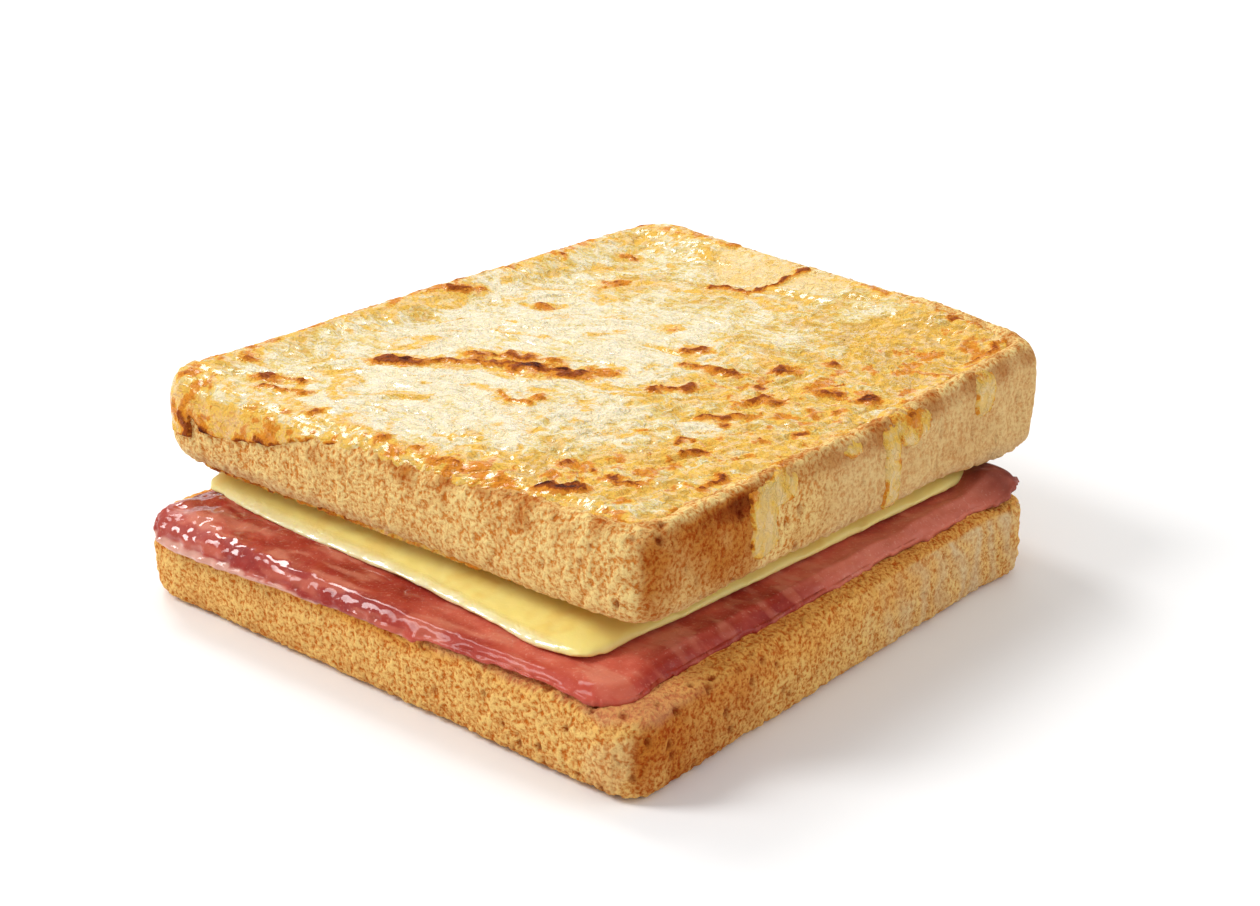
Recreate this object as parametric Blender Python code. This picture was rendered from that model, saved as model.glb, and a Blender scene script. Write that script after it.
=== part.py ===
"""Croque monsieur: ham and a slice of cheese between two square slices of sandwich bread, with melted
cheese browned on top. Metres, +Z up. The origin is the middle of the underside of the bounding box.

The pieces are laid out round the middle of the bottom slice's underside, with its sides along X and Y,
and the whole sandwich is moved onto the origin at the end. "Front" is the corner at +X -Y, and the
others follow anticlockwise seen from above: right (+X +Y), back (-X +Y) and left (-X -Y).
"""

import collections
import math

import bmesh
import bpy
from mathutils import Matrix, Vector, noise

# Clear space between pieces that touch.
GAP = 0.0003

# Bottom slice: corners in the order front, right, back, left.
BOTTOM_CORNERS = ((0.0550, -0.0529), (0.0550, 0.0529), (-0.0550, 0.0529), (-0.0550, -0.0529))
BOTTOM_THICKNESS = 0.0137
BOTTOM_CORNER_RADIUS = 0.009
BOTTOM_EDGE_RADIUS = 0.002

# Top slice: slipped back and to the left, a little turned, and leaning.
TOP_CORNERS = ((0.0492, -0.0446), (0.0512, 0.0612), (-0.0475, 0.0725), (-0.0595, -0.0425))
TOP_CORNER_LIFTS = (0.0010, 0.0, 0.0, -0.0012)
TOP_UNDERSIDE = 0.0208
TOP_THICKNESS = 0.0145
TOP_CORNER_RADIUS = 0.010
TOP_EDGE_RADIUS = 0.003

# Ham: lies on the bottom slice and hangs over its edge along the left half of the -Y side.
HAM_CORNERS = ((0.0508, -0.0512), (0.0540, 0.0505), (-0.0500, 0.0505), (-0.0503, -0.0549))
HAM_THICKNESS = 0.0017
HAM_CORNER_RADIUS = 0.007
HAM_WAVE = 0.0007
HAM_CURL = 0.0024
HAM_CURL_FROM = (0.0490, 0.0400)
HAM_CURL_WIDTH = 0.007

# Cheese slice: turned a few degrees, so that its front corner shows past the top slice. It has softened,
# so it is thin at its edges and fills the space under the top slice further in.
CHEESE_CORNERS = ((0.0410, -0.0470), (0.0472, 0.0490), (-0.0490, 0.0500), (-0.0520, -0.0367))
CHEESE_THICKNESS = 0.0040
CHEESE_EDGE_THICKNESS = 0.0019
CHEESE_EDGE_WIDTH = 0.009
CHEESE_CORNER_RADIUS = 0.004

# Melted topping: it stops short of the top slice's edge, apart from where it has run over the side.
TOPPING_THICKNESS = 0.0013
TOPPING_EDGE_THICKNESS = 0.0009
TOPPING_EDGE_WIDTH = 0.004
TOPPING_SHORT_OF_EDGE = 0.0022
TOPPING_LUMPS = 0.0005
Run = collections.namedtuple("Run", "x y width reach")
TOPPING_RUNS = (
    Run(-0.0560, -0.0420, 0.017, 0.0060),
    Run(-0.0300, -0.0440, 0.011, 0.0045),
    Run(-0.0080, -0.0440, 0.014, 0.0004),
    Run(0.0495, -0.0180, 0.007, 0.0020),
    Run(0.0503, 0.0190, 0.009, 0.0025),
    Run(0.0507, 0.0420, 0.007, 0.0020),
)

# Unevenness of the bread: waves along its sides, a slight bulge of its walls, and soft upright folds that
# fade away from the right corner of the +X side.
BREAD_WAVE = 0.0006
BREAD_BULGE = 0.0003
FLUTE_DEPTH = 0.0006
FLUTE_PITCH = 0.013
FLUTE_SPREAD = 0.050
FLUTE_SIDE_FROM = -0.012
FLUTE_SIDE_WIDTH = 0.010

# How many waves and lumps there are, per metre.
BREAD_WAVES = 30
HAM_WAVES = 70
TOPPING_LUMP_COUNT = 90
BOTTOM_SEED = 1.0
TOP_SEED = 2.0
HAM_SEED = 3.0
TOPPING_SEED = 7.0

# How finely the faces are laid out.
CORNER_STEPS = 5
SLICE_SIDE_STEPS = 14
FILLING_SIDE_STEPS = 6
TOPPING_SIDE_STEPS = 24
ROUNDING_ANGLES = (30, 60, 90)
WALL_SHARES = (1 / 3, 2 / 3)
SLICE_SHARES = (0.5, 1.0)
SHEET_SHARES = (0.45, 0.9)
EDGE_STEPS = 3
EDGE_MARGIN = 0.0006
BEND_SHARE = 0.9

# The top of a slice of bread that something lies on.
Slab = collections.namedtuple("Slab", "outline low high edge lifts corners")


def smooth_step(value):
    """0 below 0, 1 above 1, and a smooth rise between."""
    held = min(max(value, 0.0), 1.0)
    return held * held * (3 - 2 * held)


def waviness(point, count, seed):
    """Smooth noise between about -1 and 1, with this many waves per metre."""
    return noise.noise(Vector((point.x * count, point.y * count, seed)))


def rounded_outline(corners, radius, side_steps):
    """Points, anticlockwise, round a four-cornered slice with rounded corners and evenly divided sides."""
    corners = [Vector(corner) for corner in corners]
    path = []
    for i, corner in enumerate(corners):
        before = (corners[i - 1] - corner).normalized()
        after = (corners[(i + 1) % len(corners)] - corner).normalized()
        half = before.angle(after) / 2
        centre = corner + (before + after).normalized() * radius / math.sin(half)
        arm = corner + before * radius / math.tan(half) - centre
        if path:
            path += straight_points(path[-1], centre + arm, side_steps)
        for step in range(CORNER_STEPS + 1):
            turn = Matrix.Rotation((math.pi - 2 * half) * step / CORNER_STEPS, 2)
            path.append(centre + turn @ arm)
    return path + straight_points(path[-1], path[0], side_steps)


def straight_points(start, end, steps):
    """The points that divide a straight side evenly, without its ends."""
    return [start.lerp(end, step / steps) for step in range(1, steps)]


def outward(outline, i):
    """The outward direction at one point of an anticlockwise outline."""
    along = (outline[(i + 1) % len(outline)] - outline[i - 1]).normalized()
    return Vector((along.y, -along.x))


def middle(outline):
    return sum(outline, Vector((0.0, 0.0))) / len(outline)


def lean(lifts, corners, point):
    """Height added by a slice's lean, spread between the lifts of its four corners."""
    across = (point.x - corners[3][0]) / (corners[0][0] - corners[3][0])
    deep = (point.y - corners[0][1]) / (corners[1][1] - corners[0][1])
    near = lifts[3] + (lifts[0] - lifts[3]) * across
    far = lifts[2] + (lifts[1] - lifts[2]) * across
    return near + (far - near) * deep


def nearest_edge(outline, point):
    """The distance from a point to the outline, positive inside, and the outward direction there."""
    best = None
    for i, start in enumerate(outline):
        side = outline[(i + 1) % len(outline)] - start
        share = min(max((point - start).dot(side) / side.length_squared, 0.0), 1.0)
        apart = point - (start + side * share)
        if best is None or apart.length_squared < best[0]:
            best = (apart.length_squared, apart, side)
    _, apart, side = best
    out = Vector((side.y, -side.x)).normalized()
    inside = apart.dot(out) < 0
    return (apart.length if inside else -apart.length), out


def wall_bulge(share):
    """How far the side stands out, part of the way down or up between its two rounded rims."""
    return BREAD_BULGE * math.sin(math.pi * min(share, 1.0))


def drape(slab, point, lift):
    """Lays a point of a flat sheet on a slab: level on its top, then round its edge and down its side."""
    inset, out = nearest_edge(slab.outline, point)
    top = slab.high + lean(slab.lifts, slab.corners, point)
    run = slab.edge - inset
    if run <= 0:
        return Vector((point.x, point.y, top + lift))
    edge_point = point + out * inset
    turn = min(run / slab.edge, math.pi / 2)
    hang = max(run - slab.edge * math.pi / 2, 0.0)
    reach = (slab.edge + lift) * math.sin(turn) - slab.edge
    bulge = wall_bulge(hang / (slab.high - slab.low - 2 * slab.edge))
    spot = edge_point + out * (reach + bulge)
    height = top - slab.edge + (slab.edge + lift) * math.cos(turn) - hang
    return Vector((spot.x, spot.y, height))


def grow(shape, ring, points):
    """Extrudes a closed ring of edges, puts the new vertices at these points and returns them in order."""
    edges = [shape.edges.get((ring[i - 1], vert)) for i, vert in enumerate(ring)]
    made = bmesh.ops.extrude_edge_only(shape, edges=edges)
    fresh = {item for item in made["geom"] if isinstance(item, bmesh.types.BMVert)}
    grown = []
    for vert, point in zip(ring, points):
        ends = [edge.other_vert(vert) for edge in vert.link_edges]
        new = next(end for end in ends if end in fresh)
        new.co = point
        grown.append(new)
    return grown


def loft(name, rings, surface):
    """One closed piece through a stack of rings with equal numbers of points, capped at both ends."""
    shape = bmesh.new()
    first = [shape.verts.new(point) for point in rings[0]]
    for i, vert in enumerate(first):
        shape.edges.new((first[i - 1], vert))
    last = first
    for points in rings[1:]:
        last = grow(shape, last, points)
    caps = [shape.faces.new(first), shape.faces.new(last)]
    bmesh.ops.poke(shape, faces=caps)
    bmesh.ops.recalc_face_normals(shape, faces=shape.faces)
    mesh = bpy.data.meshes.new(name)
    shape.to_mesh(mesh)
    shape.free()
    mesh.shade_smooth()
    mesh.materials.append(surface)
    piece = bpy.data.objects.new(name, mesh)
    bpy.context.scene.collection.objects.link(piece)
    return piece


def material(name, colour, roughness):
    made = bpy.data.materials.new(name)
    made.use_nodes = True
    shader = made.node_tree.nodes["Principled BSDF"]
    shader.inputs["Base Color"].default_value = (*colour, 1.0)
    shader.inputs["Roughness"].default_value = roughness
    shader.inputs["Metallic"].default_value = 0.0
    return made


def bread_slab(corners, radius, edge, low, thickness, lifts, seed):
    """The outline and heights of a slice, with its sides a little uneven."""
    outline = rounded_outline(corners, radius, SLICE_SIDE_STEPS)
    uneven = []
    for i, point in enumerate(outline):
        uneven.append(point + outward(outline, i) * BREAD_WAVE * waviness(point, BREAD_WAVES, seed))
    return Slab(uneven, low, low + thickness, edge, lifts, corners)


def flute(point, slab):
    """How far the wall is drawn in at the soft upright folds towards the right corner of the +X side."""
    right = Vector(slab.corners[1])
    fade = smooth_step(1 - (right - point).length / FLUTE_SPREAD)
    on_side = smooth_step((point.x - right.x - FLUTE_SIDE_FROM) / FLUTE_SIDE_WIDTH)
    return FLUTE_DEPTH * fade * on_side * (1 + math.cos(2 * math.pi * point.y / FLUTE_PITCH))


def slab_ring(slab, inset, height):
    ring = []
    for i, point in enumerate(slab.outline):
        spot = point - outward(slab.outline, i) * inset
        ring.append((*spot, height + lean(slab.lifts, slab.corners, spot)))
    return ring


def cap_rings(slab, shares, height):
    """Rings of a level face, growing from its middle to where the edge starts to round."""
    centre = middle(slab.outline)
    rings = []
    for share in shares:
        spots = [
            centre.lerp(point - outward(slab.outline, i) * slab.edge, share)
            for i, point in enumerate(slab.outline)
        ]
        rings.append([(*spot, height + lean(slab.lifts, slab.corners, spot)) for spot in spots])
    return rings


def rounding_rings(slab, height, upward):
    """Rings round a rim, from the level face to the side. upward is 1 for the lower rim, -1 for the upper."""
    rings = []
    for degrees in ROUNDING_ANGLES:
        turn = math.radians(degrees)
        inset = slab.edge * (1 - math.sin(turn))
        rings.append(slab_ring(slab, inset, height + upward * slab.edge * (1 - math.cos(turn))))
    return rings


def wall_ring(slab, share):
    """A ring part of the way up the side, bulging a little and drawn in at the folds."""
    height = slab.low + slab.edge + (slab.high - slab.low - 2 * slab.edge) * share
    ring = []
    for i, point in enumerate(slab.outline):
        bulge = wall_bulge(share) - flute(point, slab)
        spot = point + outward(slab.outline, i) * bulge
        ring.append((*spot, height + lean(slab.lifts, slab.corners, spot)))
    return ring


def make_bread(name, slab, surface):
    """A slice of bread: level faces, rounded rims and uneven sides."""
    rings = cap_rings(slab, SLICE_SHARES, slab.low)
    rings += rounding_rings(slab, slab.low, 1)
    rings += [wall_ring(slab, share) for share in WALL_SHARES]
    rings += reversed(rounding_rings(slab, slab.high, -1))
    rings += reversed(cap_rings(slab, SLICE_SHARES, slab.high))
    return loft(name, rings, surface)


def sheet_rows(slab, outline):
    """Flat rings of a sheet from near its middle out to its outline, close together where it bends over."""
    ends = []
    for point in outline:
        inset, out = nearest_edge(slab.outline, point)
        ends.append((point, out, slab.edge - inset))
    rows = []
    for step in range(EDGE_STEPS + 2):
        row = []
        for point, out, end in ends:
            start = min(end, 0.0) - EDGE_MARGIN
            bend_end = min(start + BEND_SHARE * (end - start), slab.edge * math.pi / 2)
            run = end if step > EDGE_STEPS else start + (bend_end - start) * step / EDGE_STEPS
            row.append(point - out * (end - run))
        rows.append(row)
    centre = middle(outline)
    inner = [[centre.lerp(point, share) for point in rows[0]] for share in SHEET_SHARES]
    return inner + rows


def make_sheet(name, slab, outline, low, thickness, surface):
    """A sheet draped over a slab. low and thickness give its underside and thickness at a flat point."""
    rows = sheet_rows(slab, outline)
    under = [[drape(slab, spot, low(spot)) for spot in row] for row in rows]
    over = [[drape(slab, spot, low(spot) + thickness(spot)) for spot in row] for row in rows]
    rim = []
    for point in outline:
        half = thickness(point) / 2
        _, out = nearest_edge(slab.outline, point)
        rim.append(drape(slab, point + out * half, low(point) + half))
    return loft(name, [*under, rim, *reversed(over)], surface)


def make_ham(slab, surface):
    outline = rounded_outline(HAM_CORNERS, HAM_CORNER_RADIUS, FILLING_SIDE_STEPS)
    wavy = []
    for i, point in enumerate(outline):
        wavy.append(point + outward(outline, i) * HAM_WAVE * waviness(point, HAM_WAVES, HAM_SEED))

    def low(point):
        curl_x = smooth_step((point.x - HAM_CURL_FROM[0]) / HAM_CURL_WIDTH)
        curl_y = smooth_step((point.y - HAM_CURL_FROM[1]) / HAM_CURL_WIDTH)
        return GAP + HAM_CURL * curl_x * curl_y

    return make_sheet("ham_slice", slab, wavy, low, lambda point: HAM_THICKNESS, surface)


def make_cheese(slab, upper_slab, surface):
    outline = rounded_outline(CHEESE_CORNERS, CHEESE_CORNER_RADIUS, FILLING_SIDE_STEPS)
    low = GAP + HAM_THICKNESS + GAP

    def thickness(point):
        roof = upper_slab.low + lean(upper_slab.lifts, upper_slab.corners, point)
        room = roof - GAP - slab.high - low
        inset, _ = nearest_edge(outline, point)
        full = smooth_step(inset / CHEESE_EDGE_WIDTH)
        return CHEESE_EDGE_THICKNESS + (min(CHEESE_THICKNESS, room) - CHEESE_EDGE_THICKNESS) * full

    return make_sheet("cheese_slice", slab, outline, lambda point: low, thickness, surface)


def topping_reach(point):
    """How far past the top slice's outline the melted cheese comes, below zero where it stops short."""
    reach = 0.0
    for run in TOPPING_RUNS:
        away = (point - Vector((run.x, run.y))).length / run.width
        reach = max(reach, (run.reach + TOPPING_SHORT_OF_EDGE) * math.exp(-away * away))
    return reach - TOPPING_SHORT_OF_EDGE


def make_topping(slab, surface):
    outline = rounded_outline(TOP_CORNERS, TOP_CORNER_RADIUS, TOPPING_SIDE_STEPS)
    flowed = [point + outward(outline, i) * topping_reach(point) for i, point in enumerate(outline)]

    def thickness(point):
        inset, _ = nearest_edge(flowed, point)
        full = smooth_step(inset / TOPPING_EDGE_WIDTH)
        lump = TOPPING_LUMPS * waviness(point, TOPPING_LUMP_COUNT, TOPPING_SEED)
        return TOPPING_EDGE_THICKNESS + (TOPPING_THICKNESS + lump - TOPPING_EDGE_THICKNESS) * full

    return make_sheet("melted_topping", slab, flowed, lambda point: GAP, thickness, surface)


def stand_on_origin(pieces):
    """Moves every mesh so that the middle of the bounding box's underside is at the origin."""
    spots = [vert.co for piece in pieces for vert in piece.data.vertices]
    low = Vector([min(spot[i] for spot in spots) for i in range(3)])
    high = Vector([max(spot[i] for spot in spots) for i in range(3)])
    base = Vector(((low.x + high.x) / 2, (low.y + high.y) / 2, low.z))
    for piece in pieces:
        piece.data.transform(Matrix.Translation(-base))


def main():
    for obj in list(bpy.data.objects):
        bpy.data.objects.remove(obj, do_unlink=True)
    crust = material("toasted_bread", (0.72, 0.38, 0.12), 0.85)
    ham = material("cooked_ham", (0.48, 0.10, 0.06), 0.30)
    cheese = material("sliced_cheese", (0.83, 0.62, 0.20), 0.40)
    topping = material("browned_melted_cheese", (0.86, 0.66, 0.33), 0.40)
    bottom = bread_slab(
        BOTTOM_CORNERS,
        BOTTOM_CORNER_RADIUS,
        BOTTOM_EDGE_RADIUS,
        0.0,
        BOTTOM_THICKNESS,
        (0.0, 0.0, 0.0, 0.0),
        BOTTOM_SEED,
    )
    top = bread_slab(
        TOP_CORNERS,
        TOP_CORNER_RADIUS,
        TOP_EDGE_RADIUS,
        TOP_UNDERSIDE,
        TOP_THICKNESS,
        TOP_CORNER_LIFTS,
        TOP_SEED,
    )
    pieces = [
        make_bread("bread_bottom", bottom, crust),
        make_ham(bottom, ham),
        make_cheese(bottom, top, cheese),
        make_bread("bread_top", top, crust),
        make_topping(top, topping),
    ]
    stand_on_origin(pieces)


main()
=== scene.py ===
# %% [markdown]
# A croque monsieur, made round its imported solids. Two slices of toasted sandwich bread hold ham and a
# softened slice of cheese, and more cheese has melted and browned on top. The solids give every piece its
# place and size; this script gives each one its real surface. Each step has a short note and then its code.

# %% The frame
import math

import bmesh
import bpy
import numpy as np
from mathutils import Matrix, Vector, geometry, noise


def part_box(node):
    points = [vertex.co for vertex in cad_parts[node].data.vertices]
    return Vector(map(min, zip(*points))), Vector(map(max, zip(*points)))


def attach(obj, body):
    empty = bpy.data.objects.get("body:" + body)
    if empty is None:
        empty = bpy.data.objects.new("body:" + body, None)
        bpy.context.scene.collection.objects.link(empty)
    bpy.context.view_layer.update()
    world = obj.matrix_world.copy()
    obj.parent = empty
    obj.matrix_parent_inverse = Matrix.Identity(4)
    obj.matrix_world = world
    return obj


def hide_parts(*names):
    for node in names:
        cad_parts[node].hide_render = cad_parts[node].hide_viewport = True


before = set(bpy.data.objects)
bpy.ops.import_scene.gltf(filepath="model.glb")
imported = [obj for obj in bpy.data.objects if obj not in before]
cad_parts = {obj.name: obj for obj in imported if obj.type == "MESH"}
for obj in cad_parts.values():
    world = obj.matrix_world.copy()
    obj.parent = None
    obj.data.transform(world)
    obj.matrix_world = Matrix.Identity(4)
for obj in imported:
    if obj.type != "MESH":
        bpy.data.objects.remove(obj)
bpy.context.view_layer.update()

MM = 0.001
BODY = "root"
print("solids:", sorted(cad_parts))

# %% [markdown]
# Every place below is counted from the middle of the bottom slice's underside. The four corners of the
# sandwich are called front (+X -Y), right (+X +Y), back (-X +Y) and left (-X -Y).

# %% Places
bottom_low, bottom_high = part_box("bread_bottom")
top_low, top_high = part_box("bread_top")
HUB = Vector(((bottom_low.x + bottom_high.x) / 2, (bottom_low.y + bottom_high.y) / 2, bottom_low.z))
print("middle of the bottom slice:", [round(value / MM, 1) for value in HUB], "mm")


# %% [markdown]
# Food is never smooth, so most of the work here is moving the points of a fine mesh. These helpers read a
# mesh's points as an array, put them back, and store a value for each point, which materials can read as an
# attribute. The noise comes from Blender's own noise module, so it is the same on every run.

# %% Helpers for points
def points_of(mesh):
    flat = np.empty(len(mesh.vertices) * 3)
    mesh.vertices.foreach_get("co", flat)
    return flat.reshape(-1, 3)


def normals_of(mesh):
    flat = np.empty(len(mesh.vertices) * 3)
    mesh.vertices.foreach_get("normal", flat)
    return flat.reshape(-1, 3)


def put_points(mesh, points):
    mesh.vertices.foreach_set("co", np.ascontiguousarray(points).ravel())
    mesh.update()


def paint(mesh, name, values):
    """Stores one number a point, for the materials."""
    layer = mesh.attributes.new(name, "FLOAT", "POINT")
    layer.data.foreach_set("value", np.ascontiguousarray(values, dtype=np.float32))


def ramp(values, start, end):
    """0 at start, 1 at end, and a smooth rise between."""
    held = np.clip((values - start) / (end - start), 0.0, 1.0)
    return held * held * (3 - 2 * held)


def waves(points, size, seed, octaves=1):
    """Smooth noise from about -1 to 1, with features of this size in metres."""
    moved = (points / size + seed * 17.3).tolist()
    if octaves == 1:
        return np.array([noise.noise(point) for point in moved])
    return np.array([noise.fractal(point, 1.0, 2.0, octaves) for point in moved])


def cells(points, size, seed):
    """Distance to the nearest of many scattered spots, in cell sizes, and a random number for that spot."""
    distances = []
    numbers = []
    for point in (points / size + seed * 11.7).tolist():
        found, spots = noise.voronoi(point)
        distances.append(found[0])
        numbers.append(abs(noise.cell(spots[0] * 7.0)))
    return np.array(distances), np.array(numbers)


# %% [markdown]
# A solid from the frame is loose triangles with few points. A copy of it is merged, rebuilt with small even
# faces by the Remesh modifier, and cut finer only where it shows. The copy then carries the fine surface and
# stands for the solid, which itself stays as it is.

# %% Helpers for meshes
MERGE = 0.001 * MM


def fine_copy(name, node, voxel, smoothing):
    """A bmesh of a solid with even faces of about one voxel, its facets smoothed away."""
    shape = bmesh.new()
    shape.from_mesh(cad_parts[node].data)
    bmesh.ops.remove_doubles(shape, verts=shape.verts, dist=MERGE)
    coarse = bpy.data.meshes.new(name + "_coarse")
    shape.to_mesh(coarse)
    shape.free()
    carrier = bpy.data.objects.new(name + "_coarse", coarse)
    bpy.context.scene.collection.objects.link(carrier)
    remesh = carrier.modifiers.new("Even faces", "REMESH")
    remesh.mode = "VOXEL"
    remesh.voxel_size = voxel
    graph = bpy.context.evaluated_depsgraph_get()
    even = bpy.data.meshes.new_from_object(carrier.evaluated_get(graph))
    bpy.data.objects.remove(carrier)
    bpy.data.meshes.remove(coarse)
    shape = bmesh.new()
    shape.from_mesh(even)
    bpy.data.meshes.remove(even)
    smooth(shape, smoothing)
    return shape


def smooth(shape, times):
    for _ in range(times):
        bmesh.ops.smooth_vert(
            shape, verts=shape.verts, factor=0.5, use_axis_x=True, use_axis_y=True, use_axis_z=True
        )


def cut_finer(shape, shows, cuts):
    """Cuts the faces that show into a finer grid. shows takes the array of face middles."""
    faces = list(shape.faces)
    middles = np.array([face.calc_center_median() for face in faces])
    chosen = [face for face, yes in zip(faces, shows(middles)) if yes]
    edges = list({edge for face in chosen for edge in face.edges})
    bmesh.ops.subdivide_edges(shape, edges=edges, cuts=cuts, use_grid_fill=True)


def new_piece(name, shape, node):
    """Makes the piece, lets it ride on the body and lets it stand for its solid."""
    mesh = bpy.data.meshes.new(name)
    bmesh.ops.triangulate(shape, faces=[face for face in shape.faces if len(face.verts) > 4])
    shape.to_mesh(mesh)
    shape.free()
    mesh.shade_smooth()
    piece = bpy.data.objects.new(name, mesh)
    bpy.context.scene.collection.objects.link(piece)
    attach(piece, BODY)
    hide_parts(node)
    triangles = sum(len(face.vertices) - 2 for face in mesh.polygons)
    print(name, len(mesh.vertices), "points,", triangles, "triangles")
    return piece


def outline_of(node):
    """The convex outline of a solid seen from above, anticlockwise."""
    spots = {(round(vert.co.x, 6), round(vert.co.y, 6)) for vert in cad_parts[node].data.vertices}
    spots = [Vector(spot) for spot in sorted(spots)]
    ring = np.array([spots[i] for i in geometry.convex_hull_2d(spots)])
    area = np.sum(ring[:, 0] * np.roll(ring[:, 1], -1) - np.roll(ring[:, 0], -1) * ring[:, 1])
    return ring if area > 0 else ring[::-1]


def inset_from(outline, points):
    """How far each point is inside an outline, measured level."""
    inset = np.full(len(points), np.inf)
    for start, end in zip(outline, np.roll(outline, -1, axis=0)):
        along = (end - start) / np.linalg.norm(end - start)
        inward = np.array((-along[1], along[0]))
        inset = np.minimum(inset, (points[:, :2] - start) @ inward)
    return inset


bottom_outline = outline_of("bread_bottom")
top_outline = outline_of("bread_top")
print("outline points:", len(bottom_outline), "and", len(top_outline))


# %% [markdown]
# A finish is a Principled BSDF with noise and the stored values feeding it. Short helpers keep each finish
# readable. Colours are written as plain 0 to 255 values and turned into the linear values that shaders use.

# %% Helpers for finishes
def colour(red, green, blue):
    shares = [value / 255 for value in (red, green, blue)]
    return (*[s / 12.92 if s <= 0.04045 else ((s + 0.055) / 1.055) ** 2.4 for s in shares], 1.0)


def plug(tree, value, socket):
    """Feeds a socket from another node, or sets it to a plain value."""
    if isinstance(value, bpy.types.NodeSocket):
        tree.links.new(value, socket)
    else:
        socket.default_value = value


def reading(tree, name):
    """The value stored for a point."""
    node = tree.nodes.new("ShaderNodeAttribute")
    node.attribute_name = name
    return node.outputs["Fac"]


def calc(tree, operation, first, second=0.0):
    node = tree.nodes.new("ShaderNodeMath")
    node.operation = operation
    plug(tree, first, node.inputs[0])
    plug(tree, second, node.inputs[1])
    return node.outputs[0]


def fade(tree, value, start, end):
    """0 at start, 1 at end, and a smooth rise between."""
    node = tree.nodes.new("ShaderNodeMapRange")
    node.interpolation_type = "SMOOTHSTEP"
    plug(tree, value, node.inputs["Value"])
    plug(tree, start, node.inputs["From Min"])
    plug(tree, end, node.inputs["From Max"])
    return node.outputs["Result"]


def tint(tree, share, first, second, how="MIX"):
    """Mixes the second colour into the first."""
    node = tree.nodes.new("ShaderNodeMix")
    node.data_type = "RGBA"
    node.blend_type = how
    plug(tree, share, node.inputs[0])
    plug(tree, first, node.inputs[6])
    plug(tree, second, node.inputs[7])
    return node.outputs[2]


def bump(tree, height, depth, strength=1.0):
    node = tree.nodes.new("ShaderNodeBump")
    node.inputs["Strength"].default_value = strength
    node.inputs["Distance"].default_value = depth
    plug(tree, height, node.inputs["Height"])
    return node.outputs["Normal"]


def new_finish(name):
    material = bpy.data.materials.new(name)
    material.use_nodes = True
    return material, material.node_tree, material.node_tree.nodes["Principled BSDF"]


# %% [markdown]
# Three effects are used by more than one finish, so each is a node group. Food grain is noise at two sizes,
# read from the piece's own coordinates. Browning turns an amount of heat into the colours that bread and
# cheese both go through: golden, orange, brown and almost black. Grease film is a soft uneven height for
# wet surfaces, which breaks a highlight into small patches.

# %% Shared effects
def new_group(name, inputs, outputs):
    group = bpy.data.node_groups.new(name, "ShaderNodeTree")
    for label, kind, value in inputs:
        socket = group.interface.new_socket(label, in_out="INPUT", socket_type=kind)
        socket.default_value = value
    for label, kind in outputs:
        group.interface.new_socket(label, in_out="OUTPUT", socket_type=kind)
    entry = group.nodes.new("NodeGroupInput")
    way_out = group.nodes.new("NodeGroupOutput")
    return group, entry.outputs, way_out.inputs


def noise_at(tree, scale, detail, roughness=0.5, twist=0.0, stretch=(1, 1, 1)):
    """Noise in the piece's own coordinates, about 0.5 in the middle."""
    place = tree.nodes.new("ShaderNodeTexCoord").outputs["Object"]
    mapping = tree.nodes.new("ShaderNodeMapping")
    mapping.inputs["Scale"].default_value = stretch
    plug(tree, place, mapping.inputs["Vector"])
    node = tree.nodes.new("ShaderNodeTexNoise")
    plug(tree, mapping.outputs["Vector"], node.inputs["Vector"])
    plug(tree, scale, node.inputs["Scale"])
    node.inputs["Detail"].default_value = detail
    node.inputs["Roughness"].default_value = roughness
    node.inputs["Distortion"].default_value = twist
    return node.outputs["Fac"]


FLOAT = "NodeSocketFloat"
COLOUR = "NodeSocketColor"

food_grain, given, made = new_group(
    "Food grain",
    (("Coarse scale", FLOAT, 300.0), ("Fine scale", FLOAT, 1500.0)),
    (("Coarse", FLOAT), ("Fine", FLOAT)),
)
plug(food_grain, noise_at(food_grain, given["Coarse scale"], 2.0), made["Coarse"])
plug(food_grain, noise_at(food_grain, given["Fine scale"], 3.0, 0.6), made["Fine"])

browning, given, made = new_group(
    "Browning",
    (("Surface", COLOUR, (0.8, 0.6, 0.3, 1.0)), ("Heat", FLOAT, 0.0)),
    (("Color", COLOUR),),
)
BROWNED = (
    (0.06, 0.22, colour(240, 190, 84)),
    (0.26, 0.42, colour(222, 138, 40)),
    (0.48, 0.70, colour(156, 76, 24)),
    (0.76, 1.02, colour(80, 32, 16)),
)
stage_colour = given["Surface"]
for start, end, heated in BROWNED:
    stage_colour = tint(browning, fade(browning, given["Heat"], start, end), stage_colour, heated)
plug(browning, stage_colour, made["Color"])

grease_film, given, made = new_group(
    "Grease film", (("Scale", FLOAT, 400.0),), (("Height", FLOAT),)
)
pools = noise_at(grease_film, given["Scale"], 2.0, 0.45, 0.6)
beads = noise_at(grease_film, calc(grease_film, "MULTIPLY", given["Scale"], 4.0), 1.0)
beads = calc(grease_film, "MULTIPLY", beads, 0.22)
plug(grease_film, calc(grease_film, "ADD", pools, beads), made["Height"])
print("shared effects:", [group.name for group in bpy.data.node_groups])


def effect(tree, group, **values):
    """Places a shared effect. The values' names are its sockets' names with _ for a space."""
    node = tree.nodes.new("ShaderNodeGroup")
    node.node_tree = group
    for label, value in values.items():
        plug(tree, value, node.inputs[label.replace("_", " ")])
    return node.outputs
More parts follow.
